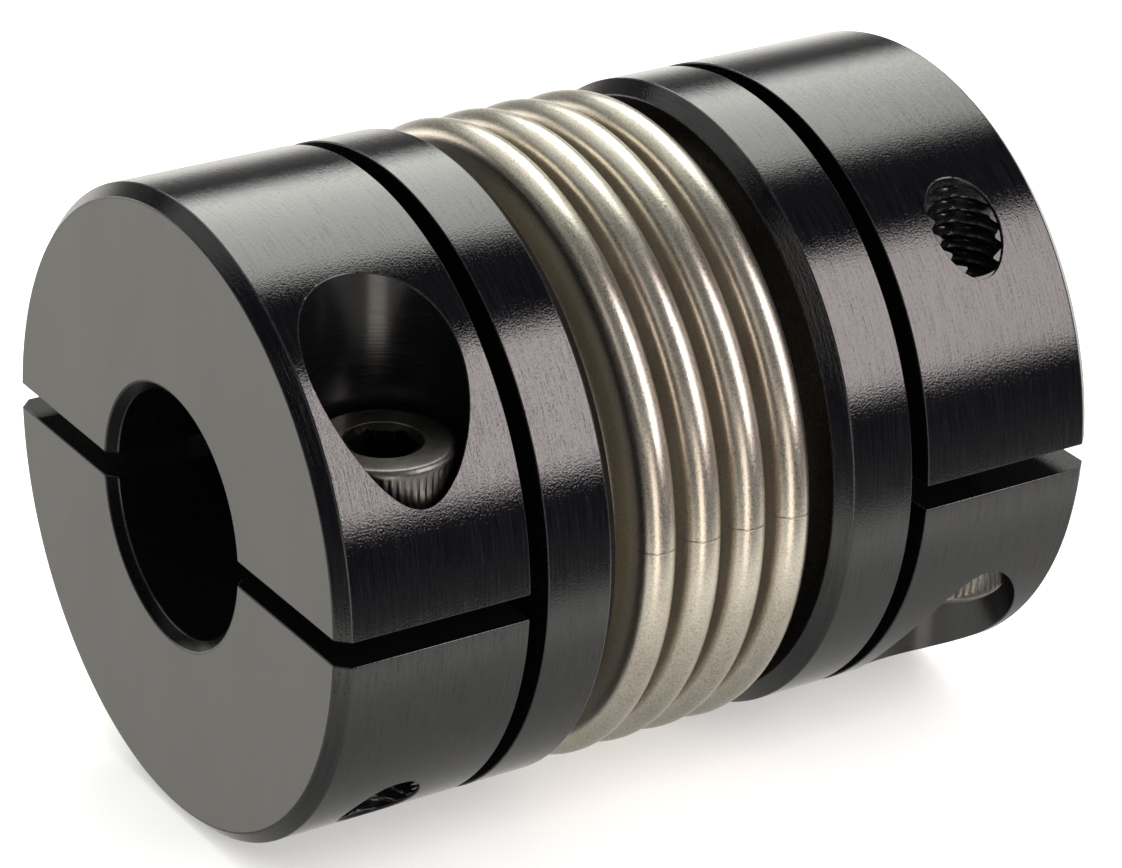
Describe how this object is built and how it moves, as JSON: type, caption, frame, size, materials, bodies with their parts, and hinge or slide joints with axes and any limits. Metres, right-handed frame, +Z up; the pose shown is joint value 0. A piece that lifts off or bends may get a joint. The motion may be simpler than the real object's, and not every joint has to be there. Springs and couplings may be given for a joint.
{
  "type": "bellows shaft coupling",
  "caption": "Bellows shaft coupling with a slotted clamp hub at each end of a thin formed metal bellows.",
  "frame": {"origin": "on the shaft line, halfway between the two end faces, which is the centre of the bounding box", "axes": "+X along the shaft line from the left hub to the right hub, +Z up; both clamp slots lie in the XY plane and the clamp screws run along Z"},
  "size_m": [0.0444, 0.0332, 0.0333],
  "materials": {
    "black_anodised": "satin black anodised, turned",
    "stainless": "formed bright stainless",
    "screw_steel": "black oxide",
    "adhesive": "cured structural adhesive"
  },
  "bodies": {
    "left_hub_body": {"left_hub": "black_anodised", "left_cuff": "stainless", "left_bond_ring": "adhesive"},
    "convolution_1_body": {"convolution_1": "stainless"},
    "convolution_2_body": {"convolution_2": "stainless"},
    "convolution_3_body": {"convolution_3": "stainless"},
    "convolution_4_body": {"convolution_4": "stainless"},
    "right_hub_body": {"right_hub": "black_anodised", "right_cuff": "stainless", "right_bond_ring": "adhesive"},
    "left_front_screw_body": {"left_front_screw": "screw_steel"},
    "left_rear_screw_body": {"left_rear_screw": "screw_steel"},
    "right_front_screw_body": {"right_front_screw": "screw_steel"},
    "right_rear_screw_body": {"right_rear_screw": "screw_steel"}
  },
  "joints": [
    {"name": "bend_y_left", "type": "hinge", "parent": "left_hub_body", "child": "convolution_1_body", "pos_m": [-0.00528, 0, 0], "axis": [0, 1, 0], "range_deg": [-0.75, 0.75], "stiffness_Nm_per_rad": 8},
    {"name": "bend_z_left", "type": "hinge", "parent": "convolution_1_body", "child": "convolution_2_body", "pos_m": [-0.00264, 0, 0], "axis": [0, 0, 1], "range_deg": [-0.75, 0.75], "stiffness_Nm_per_rad": 8},
    {"name": "axial_flex", "type": "slide", "parent": "convolution_2_body", "child": "convolution_3_body", "axis": [1, 0, 0], "range_m": [-0.0003, 0.0003], "stiffness_N_per_m": 30000},
    {"name": "bend_z_right", "type": "hinge", "parent": "convolution_3_body", "child": "convolution_4_body", "pos_m": [0.00264, 0, 0], "axis": [0, 0, 1], "range_deg": [-0.75, 0.75], "stiffness_Nm_per_rad": 8},
    {"name": "bend_y_right", "type": "hinge", "parent": "convolution_4_body", "child": "right_hub_body", "pos_m": [0.00528, 0, 0], "axis": [0, 1, 0], "range_deg": [-0.75, 0.75], "stiffness_Nm_per_rad": 8},
    {"name": "left_front_screw_turn", "type": "hinge", "parent": "left_hub_body", "child": "left_front_screw_body", "pos_m": [-0.01695, -0.0115, 0], "axis": [0, 0, 1], "range_deg": [0, 360]},
    {"name": "left_rear_screw_turn", "type": "hinge", "parent": "left_hub_body", "child": "left_rear_screw_body", "pos_m": [-0.01695, 0.0115, 0], "axis": [0, 0, -1], "range_deg": [0, 360]},
    {"name": "right_front_screw_turn", "type": "hinge", "parent": "right_hub_body", "child": "right_front_screw_body", "pos_m": [0.01695, -0.0115, 0], "axis": [0, 0, -1], "range_deg": [0, 360]},
    {"name": "right_rear_screw_turn", "type": "hinge", "parent": "right_hub_body", "child": "right_rear_screw_body", "pos_m": [0.01695, 0.0115, 0], "axis": [0, 0, 1], "range_deg": [0, 360]}
  ]
}
